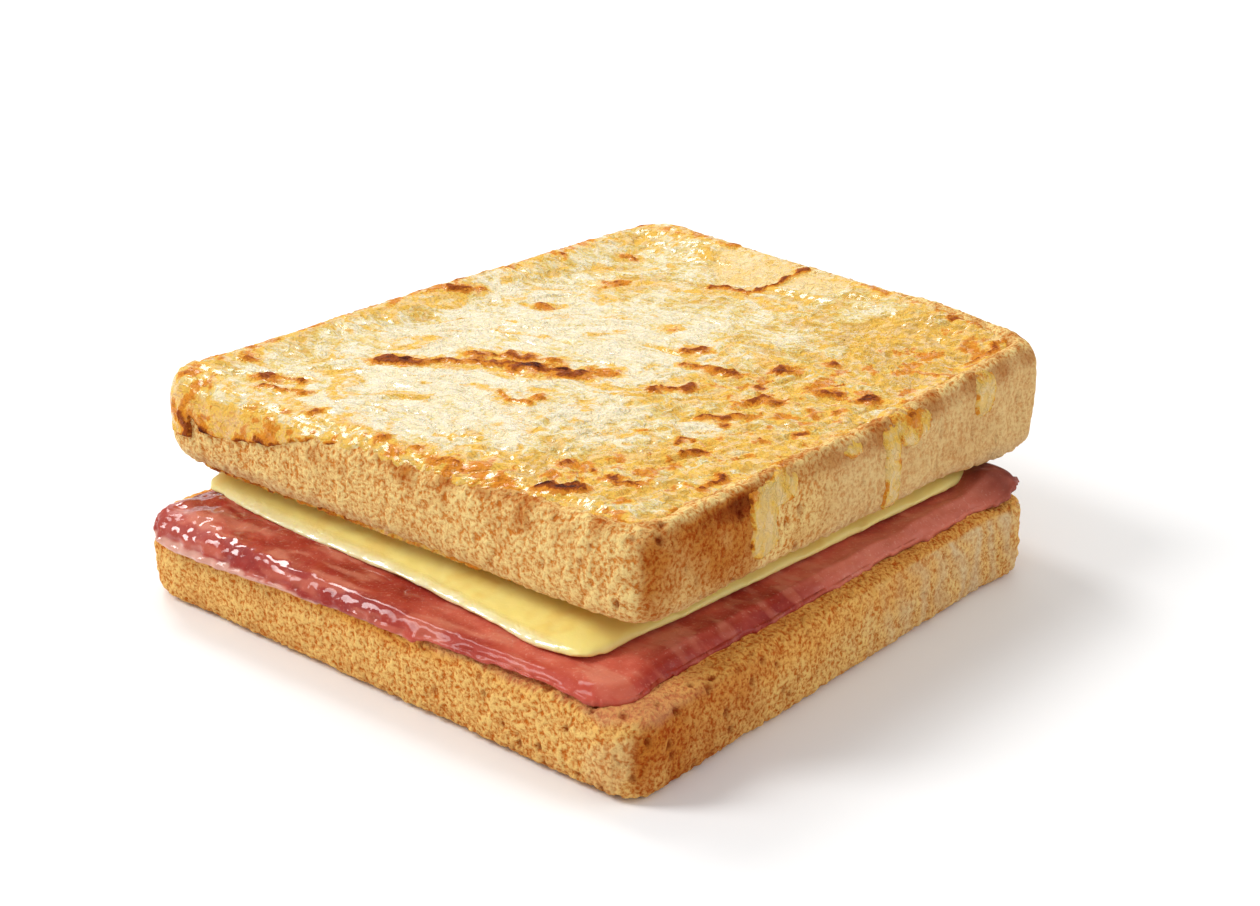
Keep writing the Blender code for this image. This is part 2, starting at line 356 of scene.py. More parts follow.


# %% [markdown]
# Sandwich bread is baked in a tin, so a slice's corners turn sharply. The solids' corners are plain arcs. Each
# listed corner is pushed outwards from the middle of its arc to a squarer curve, and the straight sides stay
# in place.

# %% Corners
# Each corner: where its two sides would meet, its radius, and how squarely it turns (2 is round).
BOTTOM_CORNERS = ((55.0, -52.9, 10.0, 3.6), (55.6, 46.4, 9.0, 2.6))
TOP_CORNERS = ((49.6, -44.8, 10.0, 3.6), (-59.6, -43.4, 12.0, 3.6), (51.1, 61.9, 10.0, 3.0))


def square_corners(points, corners):
    """Pushes round corners out, so that they turn more sharply."""
    moved = points.copy()
    for corner_x, corner_y, radius, squareness in corners:
        side_x, side_y = math.copysign(1, corner_x), math.copysign(1, corner_y)
        out_x = side_x * (moved[:, 0] - HUB.x) - (abs(corner_x) - radius) * MM
        out_y = side_y * (moved[:, 1] - HUB.y) - (abs(corner_y) - radius) * MM
        beyond = (out_x > 0) & (out_y > 0)
        reach = np.hypot(out_x, out_y) + 1e-9
        powers = np.abs(out_x / reach) ** squareness + np.abs(out_y / reach) ** squareness
        stretch = np.where(beyond, powers ** (-1 / squareness) - 1, 0.0)
        moved[:, 0] += side_x * out_x * stretch
        moved[:, 1] += side_y * out_y * stretch
    return moved


print("squarer corners:", len(BOTTOM_CORNERS) + len(TOP_CORNERS))


# %% [markdown]
# The bread's side is a dry, finely pitted crust. Its surface is built up from three things: grain about a
# millimetre across, open pores that are larger near the front corner, and a slow unevenness. The same values
# that move the points are stored, so that the hollows and pores can be given a painted shade, darker than the
# raised crumb.

# %% The crust of a slice
BREAD_VOXEL = 1.15 * MM
CRUST_BAND = 4.0 * MM
GRAIN_RISE = 0.5 * MM
PORE_DEPTH = 0.55 * MM
SLOW_RISE = 0.22 * MM


def slice_mesh(name, node, outline, lowest_fine):
    """A slice with fine faces round its sides and coarse ones on its two flat faces."""
    shape = fine_copy(name, node, BREAD_VOXEL, 2)

    def near_side(middles):
        return (inset_from(outline, middles) < CRUST_BAND) & (middles[:, 2] > lowest_fine)

    cut_finer(shape, near_side, 2)
    smooth(shape, 2)
    return new_piece(name, shape, node)


def crumb(piece, outline, corners, seed, fibre, pore_reach):
    """Moves a slice's points and stores its grain and pores. A small fibre draws the grain upright."""
    mesh = piece.data
    put_points(mesh, square_corners(points_of(mesh), corners))
    points = points_of(mesh)
    normals = normals_of(mesh)
    spots = points - np.array(HUB)
    drawn = spots * (1.0, 1.0, fibre)
    grain = 0.65 * waves(drawn, 0.85 * MM, seed) + 0.30 * waves(drawn, 1.5 * MM, seed + 3)
    distance, number = cells(drawn, 2.4 * MM, seed)
    radius = 0.14 + 0.26 * number
    pore = ramp(distance, radius, radius * 0.3) * (number > 0.35)
    pore = pore * pore_reach(spots)
    slow = waves(spots, 11 * MM, seed + 5)
    open_air = ramp(inset_from(outline, points), 9 * MM, 3 * MM)
    move = (GRAIN_RISE * grain - PORE_DEPTH * pore) * (0.25 + 0.75 * open_air) + SLOW_RISE * slow * open_air
    points = points + normals * move[:, None]
    points[:, 2] = np.maximum(points[:, 2], HUB.z)
    put_points(mesh, points)
    paint(mesh, "grain", grain)
    paint(mesh, "pore", pore)
    return spots, normals


def from_segment(spots, start, end):
    """Level distance from a straight stretch, in metres. The ends are in millimetres."""
    start = np.array(start) * MM
    along = np.array(end) * MM - start
    share = np.clip(((spots[:, :2] - start) @ along) / max(along @ along, 1e-12), 0.0, 1.0)
    return np.linalg.norm(spots[:, :2] - start - share[:, None] * along, axis=1)


bottom_slice = slice_mesh("bottom_slice", "bread_bottom", bottom_outline, HUB.z - MM)
bottom_spots, bottom_normals = crumb(
    bottom_slice,
    bottom_outline,
    BOTTOM_CORNERS,
    seed=1,
    fibre=0.8,
    pore_reach=lambda spots: 0.3 + 0.7 * ramp(from_segment(spots, (55, -53), (55, -53)), 55 * MM, 15 * MM),
)

# %% [markdown]
# What happened to the bread, and some painted light, is painted on as four more values. Heat is how far it is
# toasted, butter is where fat from the ham soaked in, pale is bare, flour-dusted crumb and on the bottom
# slice's right side also painted light, paler towards the right end and in stripes of painted light and shade
# along the crust's flutes, and rosy is the thin film the ham left on the rim.

# %% Where the bottom slice is stained, and its painted light
def face_shares(normals):
    """How much each point faces -Y, +X, up and down."""
    sides = (-normals[:, 1], normals[:, 0], normals[:, 2], -normals[:, 2])
    return tuple(ramp(side, 0.45, 0.85) for side in sides)


def paint_bottom(piece, spots, normals):
    x, y, z = (spots / MM).T
    front_face, right_face, up, down = face_shares(normals)
    blotch = waves(spots, 7 * MM, 21, 2)
    streak = waves(spots * (1, 1, 0.3), 5 * MM, 22, 2)
    heat = 0.10 + 0.10 * blotch + 0.08 * down
    heat += 0.10 * front_face * ramp(z, 5, 0.5)
    heat += 0.36 * right_face * ramp(y, -6, -46)
    butter = front_face * ramp(z + 1.6 * streak, 9.0, 12.0) * (0.9 - 0.6 * ramp(x, 0, 28))
    soaked = ramp(z + 3 * streak, 6.0, 11.0) * ramp(y, -52, -30) * ramp(y, 34, 10)
    butter = np.maximum(butter, right_face * soaked * 0.5)
    butter = np.maximum(butter, up * 0.6 * (1 - ramp(x, -10, 10) * front_face))
    # On the right side the pale value is painted light: paler towards the right end, in stripes of painted
    # light and shade along the crust's flutes.
    fold_light_and_shade = 0.65 + 0.35 * np.cos(2 * math.pi * (y + 0.25 * z) / 5.2 + 3.5 * blotch)
    pale = right_face * ramp(y, -14, 30) * (fold_light_and_shade + 0.4 * streak)
    pale = np.maximum(pale, 0.35 * front_face * ramp(x, 24, 50) * ramp(blotch, -0.1, 0.4))
    rosy = ramp(z + 1.2 * streak, 11.6, 13.2) * ramp(x, 2, 20) * ramp(y, -30, -46)
    for name, values in (("browned", heat), ("butter", butter), ("pale", pale), ("rosy", rosy)):
        paint(piece.data, name, values)


paint_bottom(bottom_slice, bottom_spots, bottom_normals)


# %% [markdown]
# One function makes both slices' finishes, since they come from one loaf. The colour starts from the crumb's
# own tone, which toasting darkens. A painted shade for the hollows between the grain, the fat and a painted
# shade for the pores are then multiplied in and not painted over, which keeps the grain visible through every
# stain.

# %% The bread's finish
def bread_finish(name, crumb_tone, painted_hollow_shade, buttered):
    """The painted shade of the hollows and the butter stain are multiplied in, so that the grain shows through
    every stain.
    """
    material, tree, shader = new_finish(name)
    fine = effect(tree, food_grain, Coarse_scale=260.0, Fine_scale=1600.0)
    grain = calc(tree, "MULTIPLY", reading(tree, "grain"), 0.55)
    fine_part = calc(tree, "MULTIPLY", calc(tree, "SUBTRACT", fine["Fine"], 0.5), 3.0)
    # Painted shade: the hollows between the grain are darkened, less where the crumb is pale.
    hollow_shade_share = fade(tree, calc(tree, "ADD", grain, fine_part), 0.4, -0.6)
    # The pale value: bare crumb, and on the bottom slice's right side painted light.
    pale_crumb_and_light = calc(tree, "MULTIPLY", reading(tree, "pale"), 0.8)
    surface = tint(tree, pale_crumb_and_light, crumb_tone, colour(240, 214, 168))
    uneven = calc(tree, "MULTIPLY", calc(tree, "SUBTRACT", fine["Coarse"], 0.5), 0.4)
    heat = calc(tree, "ADD", reading(tree, "browned"), uneven)
    surface = tint(tree, fade(tree, heat, 0.0, 0.6), surface, colour(204, 152, 106), "MULTIPLY")
    scorched = effect(tree, browning, Surface=surface, Heat=heat)["Color"]
    surface = tint(tree, fade(tree, heat, 0.46, 0.85), surface, scorched)
    shown = calc(tree, "SUBTRACT", 1.0, calc(tree, "MULTIPLY", reading(tree, "pale"), 0.5))
    surface = tint(tree, calc(tree, "MULTIPLY", hollow_shade_share, shown), surface, painted_hollow_shade, "MULTIPLY")
    surface = tint(tree, reading(tree, "butter"), surface, buttered, "MULTIPLY")
    surface = tint(tree, calc(tree, "MULTIPLY", reading(tree, "rosy"), 0.5), surface, colour(208, 136, 104))
    # Painted shade in the pores: they are darkened.
    pores = calc(tree, "MULTIPLY", reading(tree, "pore"), 0.9)
    surface = tint(tree, pores, surface, colour(176, 112, 66), "MULTIPLY")
    plug(tree, surface, shader.inputs["Base Color"])
    plug(tree, fade(tree, reading(tree, "butter"), 1.6, 0.0), shader.inputs["Roughness"])
    plug(tree, bump(tree, fine["Fine"], 0.8 * MM, 1.0), shader.inputs["Normal"])
    shader.inputs["Specular IOR Level"].default_value = 0.06
    return material


bottom_slice.data.materials.append(
    bread_finish(
        "toasted crust",
        crumb_tone=colour(255, 212, 128),
        painted_hollow_shade=colour(206, 134, 74),
        buttered=colour(252, 214, 142),
    )
)

# %% [markdown]
# A slice that toasts from above dries and curls: its far rims stand up, and its unsupported right end sags.
# Both are smooth moves straight up or down, so the melted cheese can be given the same ones later and still
# fits. A low ridge of crust also stands just inside the right rim, where no cheese lies.

# %% The curl and the ridge
FAR_RISE = 3.7
SAG = 2.8
RIDGE_HEIGHT = 0.8 * MM


def curl(points, outline):
    """Raises the rims, most at the far side, and lets the right end sag. Heights are in millimetres."""
    x, y, z = ((points - np.array(HUB)) / MM).T
    inset = inset_from(outline, points) / MM
    from_left_side = x + 55.3 - 0.098 * (y - 2)
    from_far_side = 67.1 - 0.116 * x - y
    from_right_side = 51 - x
    rise = (1.4 + 1.0 * ramp(y, -30, 20)) * ramp(from_left_side, 16, 1)
    rise = np.maximum(rise, (FAR_RISE - 1.2 * ramp(x, 25, 48)) * ramp(from_far_side, 17, 1))
    rise = np.maximum(rise, (0.7 + 1.8 * ramp(y, 10, 55)) * ramp(from_right_side, 8, 1.5))
    sag = SAG * ramp(y, 26, 54) * ramp(inset, 8, 2) * ramp(x, 0, 34)
    lifted = points.copy()
    lifted[:, 2] += MM * (rise * ramp(z, 22, 35) - sag * ramp(z, 27, 20))
    return lifted


def raise_ridge(points, outline, spots, normals):
    """Adds the ridge. spots and normals are those of the slice before its grain moved it."""
    inset = inset_from(outline, points) / MM
    ridge = np.exp(-(((inset - 2.4) / 1.6) ** 2)) * ramp(spots[:, 0] / MM, 8, 34)
    ridge = ridge * ramp(normals[:, 2], 0.2, 0.8)
    return points + np.outer(RIDGE_HEIGHT * ridge, (0, 0, 1))


print("the far rim rises by", FAR_RISE, "mm and the right end sags by", SAG, "mm")


# %% [markdown]
# The top slice's side is lighter than the bottom's and peachy, with crumb drawn upright. It darkens round the
# front corner, where its pores are open, and is creamy and pale along the right side under the drips.

# %% The top slice
top_slice = slice_mesh("top_slice", "bread_top", top_outline, top_low.z - MM)
top_spots, top_normals = crumb(
    top_slice,
    top_outline,
    TOP_CORNERS,
    seed=2,
    fibre=0.5,
    pore_reach=lambda spots: 0.25 + 0.75 * ramp(from_segment(spots, (50, -42), (51, -24)), 22 * MM, 8 * MM),
)


def paint_top_slice(piece, spots, normals):
    x, y, z = (spots / MM).T
    front_face, right_face, _, down = face_shares(normals)
    blotch = waves(spots, 6 * MM, 31, 2)
    rim = ramp(z + 1.5 * blotch, 31.5, 35.5)
    heat = 0.04 + 0.12 * blotch + 0.30 * rim * ramp(blotch, -0.2, 0.4) * (1 - right_face)
    heat += 0.22 * front_face * ramp(z, 25, 33) * ramp(waves(spots, 3.5 * MM, 33, 2), 0.0, 0.5)
    corner = ramp(from_segment(spots, (50, -42), (51, -28)), 16 * MM, 6 * MM)
    heat += (0.26 * ramp(z, 20, 32) + 0.24) * corner * right_face
    under_rim = right_face * ramp(z, 31.5, 34) * ramp(z, 36.5, 34.5)
    heat += 0.30 * under_rim * ramp(y, -40, -20)
    pale = 0.6 * ramp(z + blotch, 24.5, 21.5) + 0.8 * right_face * ramp(y, -12, 4)
    butter = 0.35 * right_face * ramp(y, -16, 0) + 0.25 * down
    for name, values in (("browned", heat), ("butter", butter), ("pale", pale), ("rosy", np.zeros(len(x)))):
        paint(piece.data, name, values)


paint_top_slice(top_slice, top_spots, top_normals)
ridged = raise_ridge(points_of(top_slice.data), top_outline, top_spots, top_normals)
put_points(top_slice.data, curl(ridged, top_outline))
top_slice.data.materials.append(
    bread_finish(
        "light crust",
        crumb_tone=colour(255, 223, 148),
        painted_hollow_shade=colour(214, 148, 88),
        buttered=colour(246, 214, 146),
    )
)

# %% [markdown]
# The ham is one thin wet sheet. Only its borders show, so only they get fine faces. Its surface ripples along
# its length, with soft dents that pool the wet shine, its cut edge is a little ragged, and paler fat runs
# through it in streaks. Along the right side its top slopes down to the bread's rim, and at the right corner
# its end is lifted, dark and crisp.

# %% The ham slice
HAM_VOXEL = 0.85 * MM
HAM_BORDER = 17 * MM
HAM_RIM_HEIGHT = 14.3
HAM_DRAWN_IN = 1.9 * MM
HAM_END_LIFT = 2.8 * MM
ham_outline = outline_of("ham_slice")

ham_shape = fine_copy("ham", "ham_slice", HAM_VOXEL, 3)
cut_finer(ham_shape, lambda middles: inset_from(ham_outline, middles) < HAM_BORDER, 1)
smooth(ham_shape, 2)
ham = new_piece("ham", ham_shape, "ham_slice")


def ripple_ham(piece, outline):
    points = points_of(piece.data)
    normals = normals_of(piece.data)
    spots = points - np.array(HUB)
    inset = inset_from(outline, points) / MM
    ripple = waves(spots * (0.45, 1, 1), 7 * MM, 41, 2)
    dents = waves(spots, 3.2 * MM, 42, 2)
    ragged = waves(spots, 2.2 * MM, 43, 2)
    x, y, z = (spots / MM).T
    upper = ramp(normals[:, 2], -0.2, 0.4)
    border = ramp(inset, 16, 9)
    left_end = ramp(x, -5, -40)
    rise = ((0.35 + 0.25 * left_end) * ripple + (0.16 + 0.30 * left_end) * dents) * upper * border
    rise -= 0.45 * ramp(inset, 2.6, 0.2) * upper
    outer = normals * (1, 1, 0.15)
    drawn_in = ramp(x, 34, 46) * ramp(inset, 10, 1) * ramp(y, -50, -36) * ramp(y, 46, 36)
    points[:, 0] -= HAM_DRAWN_IN * drawn_in
    points[:, 2] += 0.4 * MM * drawn_in
    right_end = ramp(from_segment(spots, (50, 48), (56, 52)), 10 * MM, 4 * MM)
    slope = (HUB.z / MM + HAM_RIM_HEIGHT + 0.4 * np.maximum(inset, 0) - (1 - upper)) * MM
    points[:, 2] += np.minimum(slope - points[:, 2], 0.0) * ramp(x, 34, 48)
    points[:, 2] += HAM_END_LIFT * right_end
    points[:, 0] += 0.6 * MM * right_end
    ragged = ragged * (1 + 2.2 * right_end)
    torn = MM * (0.4 + 0.6 * right_end) * ragged * ramp(inset, 1.8, 0.4)
    points = points + normals * (MM * rise)[:, None] + outer * torn[:, None]
    put_points(piece.data, points)
    streaks = waves(spots * (0.3, 1, 1), 3.2 * MM, 44, 3)
    right_wall = ramp(x, 42, 50) * ramp(y, -14, 6)
    fat = np.maximum(ramp(streaks, 0.05, 0.4), 0.75 * right_wall)
    paint(piece.data, "fat", fat)
    # A thin pale line along the ham's lowest cut edge: partly its paler edge, partly a painted highlight.
    paint(piece.data, "pale_edge_and_glint", ramp(z + 0.5 * ragged, 12.9, 12.3) * ramp(inset, 1.6, 0.8) * ramp(x, 44, 20))
    patchy = 0.25 + 0.75 * ramp(waves(spots, 5 * MM, 46, 2) + 0.3 * ramp(x, -30, -48), -0.1, 0.25)
    paint(piece.data, "wet", 0.2 + 0.8 * ramp(x, 26, -26) * patchy)
    muscle = waves(spots * (0.6, 1, 1), 8 * MM, 45, 2)
    salmon = ramp(x, -5, 40) * ramp(y, 30, -20) * (0.7 + muscle) + 0.5 * ramp(muscle, -0.1, 0.4)
    salmon = salmon * (1 - 0.7 * ramp(from_segment(spots, (54, -36), (54, -14)) / MM, 12, 5))
    paint(piece.data, "bright", salmon + 0.7 * right_wall)
    # Painted shade on the ham's sloping border, less on its right wall.
    paint(piece.data, "shaded_border", ramp(inset, 4.0, 2.4) * (1 - 0.8 * right_wall))
    paint(piece.data, "crisp", right_end * (0.8 + 0.3 * dents))


ripple_ham(ham, ham_outline)


# %% The ham's finish
def ham_finish():
    material, tree, shader = new_finish("wet ham")
    grain = effect(tree, food_grain, Coarse_scale=420.0, Fine_scale=2200.0)
    film = effect(tree, grease_film, Scale=210.0)["Height"]
    deep = tint(tree, grain["Coarse"], colour(140, 30, 22), colour(188, 66, 48))
    bright = tint(tree, grain["Coarse"], colour(190, 72, 56), colour(224, 120, 96))
    meat = tint(tree, reading(tree, "bright"), deep, bright)
    meat = tint(tree, calc(tree, "MULTIPLY", reading(tree, "fat"), 0.5), meat, colour(226, 146, 118))
    speck = fade(tree, grain["Fine"], 0.56, 0.72)
    meat = tint(tree, calc(tree, "MULTIPLY", speck, 0.35), meat, colour(238, 184, 160))
    # Painted shade: the ham's border is darkened.
    border_shade = calc(tree, "MULTIPLY", reading(tree, "shaded_border"), 0.6)
    meat = tint(tree, border_shade, meat, colour(218, 138, 116), "MULTIPLY")
    # The pale line along the lowest edge: partly paler ham, partly a painted highlight.
    meat = tint(tree, calc(tree, "MULTIPLY", reading(tree, "pale_edge_and_glint"), 0.7), meat, colour(232, 180, 160))
    charred = tint(tree, grain["Coarse"], colour(70, 18, 14), colour(134, 48, 34))
    meat = tint(tree, reading(tree, "crisp"), meat, charred)
    plug(tree, meat, shader.inputs["Base Color"])
    plug(tree, fade(tree, film, 1.3, 0.0), shader.inputs["Roughness"])
    dry = calc(tree, "SUBTRACT", 1.0, reading(tree, "crisp"))
    plug(tree, calc(tree, "MULTIPLY", reading(tree, "wet"), dry), shader.inputs["Coat Weight"])
    shader.inputs["Specular IOR Level"].default_value = 0.15
    shader.inputs["Coat IOR"].default_value = 1.6
    shader.inputs["Coat Roughness"].default_value = 0.05
    shader.inputs["Subsurface Weight"].default_value = 0.08
    shader.inputs["Subsurface Radius"].default_value = (1.0, 0.35, 0.2)
    shader.inputs["Subsurface Scale"].default_value = 1.2 * MM
    plug(tree, bump(tree, film, 0.5 * MM, 0.8), shader.inputs["Normal"])
    return material


ham.data.materials.append(ham_finish())
print("ham finish:", ham.data.materials[0].name)

# %% [markdown]
# The cheese slice has softened but not run: smooth pale sides, a rounded lower edge that the light catches,
# and a -Y side that is pushed a little out and down over the ham, most towards the left.

# %% The cheese slice
CHEESE_VOXEL = 0.9 * MM
CHEESE_BORDER = 11 * MM
cheese_outline = outline_of("cheese_slice")

cheese_shape = fine_copy("cheese", "cheese_slice", CHEESE_VOXEL, 3)
cut_finer(cheese_shape, lambda middles: inset_from(cheese_outline, middles) < CHEESE_BORDER, 1)
smooth(cheese_shape, 3)
cheese = new_piece("cheese", cheese_shape, "cheese_slice")


def soften_cheese(piece, outline):
    points = points_of(piece.data)
    normals = normals_of(piece.data)
    spots = points - np.array(HUB)
    inset = inset_from(outline, points) / MM
    x, y, z = (spots / MM).T
    slow = waves(spots, 10 * MM, 51)
    small = waves(spots, 2.4 * MM, 52, 2)
    border = ramp(inset, 10, 5)
    toward_left = ramp(y, -25, -38) * (0.8 + 2.2 * ramp(x, 10, -40)) * ramp(x, 38, 30)
    lower = ramp(z, 18.4, 16.2)
    slope = 1.1 * ramp(y, -30, -38) * ramp(inset, 3.0, 0.5) * ramp(x, 44, 34)
    points[:, 1] -= MM * (toward_left * (0.6 + 0.6 * lower) + slope * (lower - 0.4))
    points[:, 2] -= MM * 0.25 * toward_left
    points = points + normals * (MM * (0.25 * slow + 0.10 * small) * border)[:, None]
    put_points(piece.data, points)
    low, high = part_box("cheese_slice")
    middle_height = (((low + high) / 2).z - HUB.z) / MM
    # The rounded lower edge: it gets the coat's shine and a pale painted highlight.
    highlight_edge = ramp(inset, 2.6, 1.0) * ramp(z, middle_height - 0.1, middle_height - 0.9)
    highlight_edge = highlight_edge * (0.2 + 0.8 * ramp(y, -36, -39) * ramp(x, 40, 30))
    paint(piece.data, "rounded", highlight_edge)
    paint(piece.data, "deep", ramp(slow + 0.5 * small, 0.0, 0.6))


soften_cheese(cheese, cheese_outline)


# %% The cheese's finish
def cheese_finish():
    material, tree, shader = new_finish("soft cheese")
    grain = effect(tree, food_grain, Coarse_scale=160.0, Fine_scale=1400.0)
    film = effect(tree, grease_film, Scale=700.0)["Height"]
    body = tint(tree, grain["Coarse"], colour(252, 226, 118), colour(255, 236, 146))
    body = tint(tree, calc(tree, "MULTIPLY", reading(tree, "deep"), 0.4), body, colour(236, 196, 84))
    # Painted highlight: a pale band along the rounded lower edge.
    body = tint(tree, calc(tree, "MULTIPLY", reading(tree, "rounded"), 0.6), body, colour(255, 242, 196))
    plug(tree, body, shader.inputs["Base Color"])
    plug(tree, fade(tree, reading(tree, "rounded"), 2.4, -1.6), shader.inputs["Roughness"])
    plug(tree, reading(tree, "rounded"), shader.inputs["Coat Weight"])
    shader.inputs["Coat Roughness"].default_value = 0.1
    shader.inputs["Coat IOR"].default_value = 2.0
    shader.inputs["Subsurface Weight"].default_value = 0.4
    shader.inputs["Subsurface Radius"].default_value = (1.0, 0.7, 0.3)
    shader.inputs["Subsurface Scale"].default_value = 1.5 * MM
    rough = calc(tree, "MULTIPLY", film, fade(tree, reading(tree, "rounded"), -0.25, 0.6))
    plug(tree, bump(tree, rough, 0.3 * MM, 0.9), shader.inputs["Normal"])
    return material


cheese.data.materials.append(cheese_finish())
print("cheese finish:", cheese.data.materials[0].name)

# %% [markdown]
# The melted cheese is a skin that follows the top slice, so it starts as a copy of that slice. One value says
# how far a point is inside the melted patch, in millimetres. Where it is positive the skin stands up from the
# bread, and elsewhere it sinks just under the crust, so its edge looks poured and not cut out. Under the
# slice's middle the copy is pushed up, so that it is thin there, and its walls stay hidden inside the bread.

# %% Where the cheese ran
TOPPING_VOXEL = 1.3 * MM
SUNK = 0.9
RIM = 1.4
# Along the front side: x, and the height that the cheese runs down to.
RUNS_DOWN_FRONT = (
    (-60, 26),
    (-50, 29),
    (-46, 27),
    (-38, 28),
    (-30, 29.3),
    (-21, 32.5),
    (-7, 33.8),
    (6, 34.4),
    (45, 37),
)
# On the right side: y, half its width, and the height of its tip.
DRIPS = (
    (-17.5, 3.4, 24.5),
    (-13.0, 5.0, 31.0),
    (14.5, 2.3, 21.5),
    (20.5, 6.0, 30.5),
    (41.5, 2.8, 28.5),
    (5.0, 4.0, 33.0),
)
WALL_FROM = 46.0


def melted_inside(spots, outline_points):
    """How far each point is inside the melted patch, in millimetres, before its edge is made uneven."""
    x, y, z = (spots / MM).T
    inset = inset_from(top_outline, outline_points) / MM
    rim = RIM + 1.2 * ramp(x, 0, 34) + 1.2 * ramp(x, 30, 42) * ramp(y, 66, 52)
    inside = inset - rim
    run_xs, run_zs = np.array(RUNS_DOWN_FRONT).T
    over_front = np.where(y < -36, z - np.interp(x, run_xs, run_zs), -9.0)
    round_corner = np.where(x < -50, np.minimum(-37.5 - y, z - 25.0), -9.0)
    inside = np.maximum(inside, np.maximum(over_front, round_corner))
    for along, half_width, lowest in DRIPS:
        below = np.maximum(lowest + half_width - z, 0.0)
        drip = half_width - np.hypot(y - along, below)
        inside = np.maximum(inside, np.where(x > WALL_FROM, drip, -9.0))
    return inside


def topping_shows(middles):
    spots = middles - np.array(HUB)
    underside = (inset_from(top_outline, middles) > 2.5 * MM) & (spots[:, 2] < 28 * MM)
    return (melted_inside(spots, middles) > -1.6) & ~underside


topping_shape = fine_copy("topping", "bread_top", TOPPING_VOXEL, 3)
cut_finer(topping_shape, topping_shows, 2)
smooth(topping_shape, 2)
topping = new_piece("melted_cheese", topping_shape, "melted_topping")

# %% [markdown]
# Browning comes in spots, streaks and one long band. Each is a short stroke with a radius and a strength, and
# noise frays its edge and breaks up its middle. Radii and places are in millimetres.

# %% Browned marks
MARKS = (
    (1.8, 1.00, (-33.5, -15), (-30, -13)),
    (1.7, 0.80, (-30, -13), (-25, -10), (-20, -6), (-14, -3)),
    (1.6, 0.74, (-24, -4), (-17, 0), (-10, 2)),
    (2.2, 1.05, (-12, -3), (-6, -1), (-3, 1)),
    (1.5, 0.68, (-3, 1), (2, 5)),
    (0.8, 0.66, (-7, -14), (-3, -16.5), (0, -15), (0, -11)),
    (1.4, 0.80, (-48, 16), (-45, 20)),
    (1.5, 0.72, (-31.5, 22), (-30, 23)),
    (1.8, 0.64, (-30, 39), (-28, 41)),
    (1.5, 0.66, (-37, 46)),
    (1.5, 0.66, (-37, 54)),
    (0.8, 1.00, (-14, 51), (-7, 52), (-4, 57), (-2, 63)),
    (1.0, 0.95, (-14.5, 71), (-10, 71)),
    (1.2, 0.95, (-4, 71), (-1, 70)),
    (1.1, 0.90, (12, 66), (19, 66)),
    (1.2, 0.62, (-5, 28)),
    (1.4, 0.85, (4, 21), (6, 23)),
    (1.1, 0.85, (8, 16), (13, 16), (19, 17)),
    (1.3, 0.85, (16, 7), (12, 3)),
    (1.8, 1.00, (23, 23)),
    (1.5, 0.90, (27, 31.5)),
    (1.3, 0.80, (32, 18), (36, 20)),
    (1.5, 1.10, (41, 20), (42, 22)),
    (1.3, 0.80, (41, 13)),
    (1.5, 0.80, (28, 9), (31, 11)),
    (1.2, 0.85, (30, 2), (26, -2)),
    (1.2, 0.85, (35, -13), (33, -16)),
    (1.4, 0.80, (39, -4)),
    (1.4, 0.80, (47, -10)),
    (0.9, 1.05, (43.5, -24), (43, -19)),
    (1.2, 1.20, (25, -39), (30, -36)),
    (1.2, 0.80, (22.5, -30)),
    (0.8, 1.15, (26.5, -29)),
    (1.3, 0.90, (31, -30), (36, -30)),
    (1.1, 0.70, (9, -39), (4, -40)),
    (1.2, 0.70, (0, -39)),
    (1.1, 0.85, (-44, -33), (-36, -30)),
    (0.9, 0.75, (-40, -36), (-32, -34)),
    (1.4, 0.85, (-50.5, -29.5)),
    (1.0, 0.80, (-24, -38.5)),
    (1.1, 0.80, (-8, -39)),
    (0.8, 0.75, (45, 44), (45, 57)),
    (1.1, 0.70, (44, 38)),
)
SIDE_MARKS = (
    (2.2, 0.95, (-51, -43, 28)),
    (1.9, 0.90, (-47, -43.5, 27.5)),
    (2.4, 0.88, (-31, -44, 30)),
    (1.3, 0.80, (-16, -44, 33)),
    (1.2, 0.70, (-38, -44, 29)),
    (1.5, 0.70, (10, -44.5, 34)),
    (1.7, 1.05, (50, -20, 36)),
    (1.6, 0.85, (50.5, 21, 34)),
    (1.4, 0.90, (50.5, 26, 36)),
    (1.3, 0.95, (50.5, 48, 33.4)),
)
print("browned marks:", len(MARKS) + len(SIDE_MARKS))


def mark_heat(distance, radius, strength, fray):
    frayed = distance / MM + radius * fray
    halo = ramp(frayed, 1.8 * radius + 0.9, 1.2 * radius)
    core = ramp(frayed, 1.1 * radius, 0.3 * radius)
    return strength * (0.42 * halo + 0.58 * core)


def all_marks(spots, fray, warp):
    heat = np.zeros(len(spots))
    spots = spots + warp * MM
    for radius, strength, *stroke in MARKS:
        for start, end in zip(stroke, stroke[1:] or stroke):
            heat = np.maximum(heat, mark_heat(from_segment(spots, start, end), radius, strength, fray))
    for radius, strength, place in SIDE_MARKS:
        distance = np.linalg.norm(spots - np.array(place) * MM, axis=1)
        heat = np.maximum(heat, mark_heat(distance, radius, strength, fray))
    return heat


# %% [markdown]
# The relief of the skin is strands, lumps and raised scorched crusts. Strands run along the slice on the left
# and turn on the right, which comes from bending the coordinates before the noise is read.

